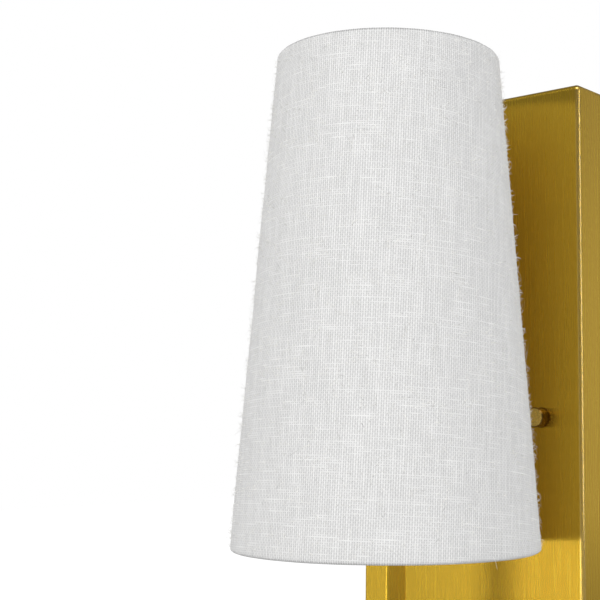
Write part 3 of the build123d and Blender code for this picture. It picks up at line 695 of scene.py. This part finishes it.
# the cloth is drawn a little thinner than it is, so that its inside stays clear of the liner
drawn_thick = 0.9 * linen_thick
wall = linen_shade.modifiers.new("thickness", "SOLIDIFY")
wall.thickness = drawn_thick
wall.offset = -1.0
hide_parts("shade_fabric")

# loose fibre ends stand off the cloth: three-sided hairs, each a short bent line, and most of them very
# short. They are thicker than real ones so that they show, and cast no shadow, since a real one's
# shadow can't be seen
hair_count = 10000
hair_steps = 3
hair_sides = 3
shortest_hair = 0.0009
hair_range = 0.0028
hair_spread = 0.8
hair_margin = 0.002
hair_root = 0.0001
hair_thin = 0.00014
hair_point = 0.7
hair_droop = 0.35
# the fibres are tinted a little warm, as painted light bounced off the brass
fibre_dull = (0.88, 0.87, 0.83, 1.0)
fibre_bright = (0.98, 0.97, 0.93, 1.0)
fibre_tone = 300.0

seeded = np.random.default_rng(7)
hair_angle = seeded.uniform(0, 2 * np.pi, hair_count)
hair_z = seeded.uniform(shade_bottom_z + hair_margin, shade_top_z - hair_margin, hair_count)
hair_length = shortest_hair + hair_range * seeded.uniform(0, 1, hair_count) ** 3
hair_lean = seeded.normal(0, hair_spread, (hair_count, 2))
outwards = np.stack([np.cos(hair_angle), np.sin(hair_angle), np.full(hair_count, taper)], axis=1)
sideways = np.stack([-np.sin(hair_angle), np.cos(hair_angle), np.zeros(hair_count)], axis=1)
upslope = np.cross(outwards, sideways)
root_r = wall_r(hair_z) - hair_root
roots = np.stack([
    root_r * np.cos(hair_angle), shade_axis_y + root_r * np.sin(hair_angle), hair_z,
], axis=1)
t = np.linspace(0, 1, hair_steps)[None, :, None]
bend = hair_lean[:, :1, None] * sideways[:, None, :] + hair_lean[:, 1:, None] * upslope[:, None, :]
spine = outwards[:, None, :] * (t - hair_droop * t**2) + bend * t**2
spine = roots[:, None, :] + hair_length[:, None, None] * spine
thin = hair_thin * (1 - hair_point * t)
side_turn = 2 * np.pi * np.arange(hair_sides)[None, None, :, None] / hair_sides
ring = np.cos(side_turn) * sideways[:, None, None, :] + np.sin(side_turn) * upslope[:, None, None, :]
hairs = spine[:, :, None, :] + thin[..., None] * ring
hair = np.arange(hair_count)[:, None, None] * hair_steps * hair_sides
step = np.arange(hair_steps - 1)[None, :, None] * hair_sides
corner = np.arange(hair_sides)[None, None, :]
here, there = hair + step + corner, hair + step + (corner + 1) % hair_sides
hair_faces = np.stack([here, there, there + hair_sides, here + hair_sides], axis=-1).reshape(-1, 4)

fibre, tree, surface = new_material("linen_fibre")
tone = noise_of(tree, put(tree, "TexCoord").outputs["Object"], fibre_tone)
tree.links.new(blend_of(tree, tone, fibre_dull, fibre_bright), surface["Base Color"])
surface["Roughness"].default_value = 0.9
surface["Sheen Weight"].default_value = 0.5
linen_fuzz = new_piece("linen_fuzz", hairs, hair_faces, "shade", fibre)
linen_fuzz.visible_shadow = False

# ---------------------------------------------------------------------------------------------------
# Moulded and coated pieces: the shade's styrene liner, the enamelled fitter, the socket and its ring,
# the bulb's plastic and the leads' insulation. Each has faint flow marks and an uneven gloss.

mottle, reads, fills = new_group(
    "moulding_marks",
    [("Place", "Vector"), ("Scale", "Float"), ("Depth", "Float")],
    [("Mark", "Float"), ("Normal", "Vector")],
)
mark = noise_of(mottle, reads["Place"], reads["Scale"], 4.0)
relief = put(mottle, "Bump", Strength=reads["Depth"], Distance=0.00005, Height=mark)
mottle.links.new(mark, fills["Mark"])
mottle.links.new(relief.outputs[0], fills["Normal"])


def moulded(name, dull, bright, low, high, scale=900.0, depth=0.2):
    """A surface between two near colours, with its roughness between low and high. The marks have a
    scale, and a depth from 0 to 1."""
    material, tree, surface = new_material(name)
    place = put(tree, "TexCoord").outputs["Object"]
    marks = use_group(tree, mottle, Place=place, Scale=scale, Depth=depth)
    spread = stretch_of(tree, marks["Mark"], *noise_span)
    satin = stretch_of(tree, marks["Mark"], *noise_span, low, high)
    tree.links.new(blend_of(tree, spread, dull + (1.0,), bright + (1.0,)), surface["Base Color"])
    tree.links.new(satin, surface["Roughness"])
    tree.links.new(marks["Normal"], surface["Normal"])
    return material


dress(
    moulded("white_styrene", (0.80, 0.80, 0.78), (0.86, 0.86, 0.85), 0.42, 0.55, 400.0),
    "shade_liner",
)
dress(
    moulded("white_enamel", (0.76, 0.76, 0.74), (0.85, 0.85, 0.84), 0.25, 0.38, 1500.0),
    "shade_wire_top", "shade_wire_bottom", "fitter_hub", "fitter_spokes",
)
dress(
    moulded("socket_thermoplastic", (0.74, 0.72, 0.66), (0.82, 0.81, 0.76), 0.38, 0.52),
    "socket_body", "socket_cap", "shade_ring",
)
dress(
    moulded("white_insulation", (0.78, 0.78, 0.76), (0.85, 0.85, 0.84), 0.4, 0.5, 2000.0),
    "lead_white",
)
dress(
    moulded("black_insulation", (0.012, 0.012, 0.013), (0.025, 0.025, 0.026), 0.38, 0.5, 2000.0),
    "lead_black",
)
dress(
    moulded("green_insulation", (0.015, 0.16, 0.045), (0.03, 0.22, 0.07), 0.38, 0.5, 2000.0),
    "lead_ground",
)
dress(
    moulded("bulb_housing_plastic", (0.80, 0.80, 0.79), (0.87, 0.87, 0.86), 0.22, 0.32, 600.0),
    "bulb_housing",
)
dress(
    moulded("bulb_frost", (0.84, 0.84, 0.82), (0.90, 0.90, 0.88), 0.34, 0.46, 3000.0),
    "bulb_dome",
)
dress(
    moulded("bulb_black_glass", (0.012, 0.012, 0.014), (0.03, 0.03, 0.032), 0.12, 0.25),
    "bulb_insulator",
)
dress(
    moulded("board_mask", (0.74, 0.75, 0.75), (0.82, 0.83, 0.83), 0.30, 0.42, 2500.0),
    "led_board",
)
dress(
    moulded("phosphor", (0.80, 0.52, 0.06), (0.90, 0.68, 0.14), 0.35, 0.5, 4000.0),
    "led_chips",
)

# ---------------------------------------------------------------------------------------------------
# The wire nuts: cones of orange plastic, moulded with grip ribs round their sides and screwed over the
# twisted ends of the leads, behind the plate.

nut_places = (-0.024, 0.0, 0.024)
nut_y = -0.0090
nut_low = -0.0760
nut_height = 0.0220
nut_low_r = 0.0055
nut_top_r = 0.0040
nut_edge = 0.0012
nut_bore = 0.0013
nut_bore_depth = 0.0100
nut_ribs = 12
nut_columns = 144
nut_lip = 0.0005
nut_skirt = 0.0034
rib_depth = 0.00022
rib_run_out = 0.002
rib_squareness = 0.4
skirt_r = nut_low_r - 0.0003
nut_profile = np.array([
    (nut_bore, nut_bore_depth), (nut_bore, 0.0),
    (nut_low_r - 0.0006, 0.0), (nut_low_r, nut_lip), (nut_low_r, 0.0030), (skirt_r, nut_skirt),
    (skirt_r, 0.0060), (0.0049, 0.0100), (0.0046, 0.0140), (0.0043, 0.0180),
    (nut_top_r, nut_height - nut_edge),
    (nut_top_r - 0.5 * nut_edge, nut_height - 0.2 * nut_edge),
    (nut_top_r - 1.6 * nut_edge, nut_height), (0.0002, nut_height),
])
nut_turn = np.linspace(0, 2 * np.pi, nut_columns, endpoint=False)

# the ribs follow a cosine with its sides steepened, and run out at the skirt and at the top
rib_start = np.clip((nut_profile[:, 1] - nut_skirt) / rib_run_out, 0, 1)
rib_end = np.clip((nut_height - nut_edge - nut_profile[:, 1]) / rib_run_out, 0, 1)
ribbed = rib_start * rib_end
ribbed[0] = 0.0
cosine = np.cos(nut_ribs * nut_turn)
grip = rib_depth * np.sign(cosine) * np.abs(cosine) ** rib_squareness
nut_r = nut_profile[None, :, 0] - rib_depth * ribbed[None, :] + grip[:, None] * ribbed[None, :]
one_nut = np.stack([
    nut_r * np.cos(nut_turn)[:, None],
    nut_y + nut_r * np.sin(nut_turn)[:, None],
    np.broadcast_to(nut_low + nut_profile[None, :, 1], nut_r.shape),
], axis=-1).reshape(-1, 3)
nut_faces = grid_faces(nut_columns, len(nut_profile))
all_nuts = np.concatenate([one_nut + (x, 0.0, 0.0) for x in nut_places])
all_faces = np.concatenate([nut_faces + n * len(one_nut) for n in range(len(nut_places))])
nut_plastic = moulded("orange_nut_plastic", (0.62, 0.13, 0.012), (0.76, 0.19, 0.02), 0.36, 0.5)
ribbed_nuts = new_piece(
    "ribbed_wire_nuts", all_nuts, all_faces, "fixture", nut_plastic
)
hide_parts("wire_nuts")

# ---------------------------------------------------------------------------------------------------
# Plated and bare metal inside: zinc plated straps, studs and nuts, the nipples, the socket's brass
# shell and contacts, the copper lug, the bulb's cap, and the green painted ground screw.


def plated(name, dull, bright, low, high, metallic=1.0):
    """Metal with cloudy plating: colour, roughness and faint dents follow the same marks."""
    material = moulded(name, dull, bright, low, high, scale=700.0, depth=0.25)
    surface = material.node_tree.nodes["Principled BSDF"].inputs
    surface["Metallic"].default_value = metallic
    return material


dress(
    plated("zinc_plate", (0.40, 0.41, 0.43), (0.60, 0.60, 0.585), 0.26, 0.42),
    "wall_strap", "cross_strap", "swivel_rivet", "studs", "stud_nuts", "arm_backing_plate",
)
dress(
    plated("yellow_zinc", (0.56, 0.50, 0.33), (0.68, 0.62, 0.42), 0.28, 0.40),
    "arm_nipple", "arm_nut", "socket_nipple",
)
dress(
    plated("bare_brass", (0.60, 0.42, 0.15), (0.72, 0.53, 0.22), 0.24, 0.36),
    "screw_shell", "socket_terminals", "centre_contact",
)
dress(
    plated("bare_copper", (0.60, 0.28, 0.16), (0.76, 0.38, 0.23), 0.26, 0.40),
    "ground_lug",
)
dress(
    plated("bulb_cap_alloy", (0.60, 0.61, 0.62), (0.75, 0.76, 0.77), 0.22, 0.36),
    "bulb_cap", "bulb_contact",
)
dress(
    plated("green_paint", (0.02, 0.16, 0.05), (0.04, 0.22, 0.08), 0.28, 0.42, metallic=0.0),
    "ground_screw",
)
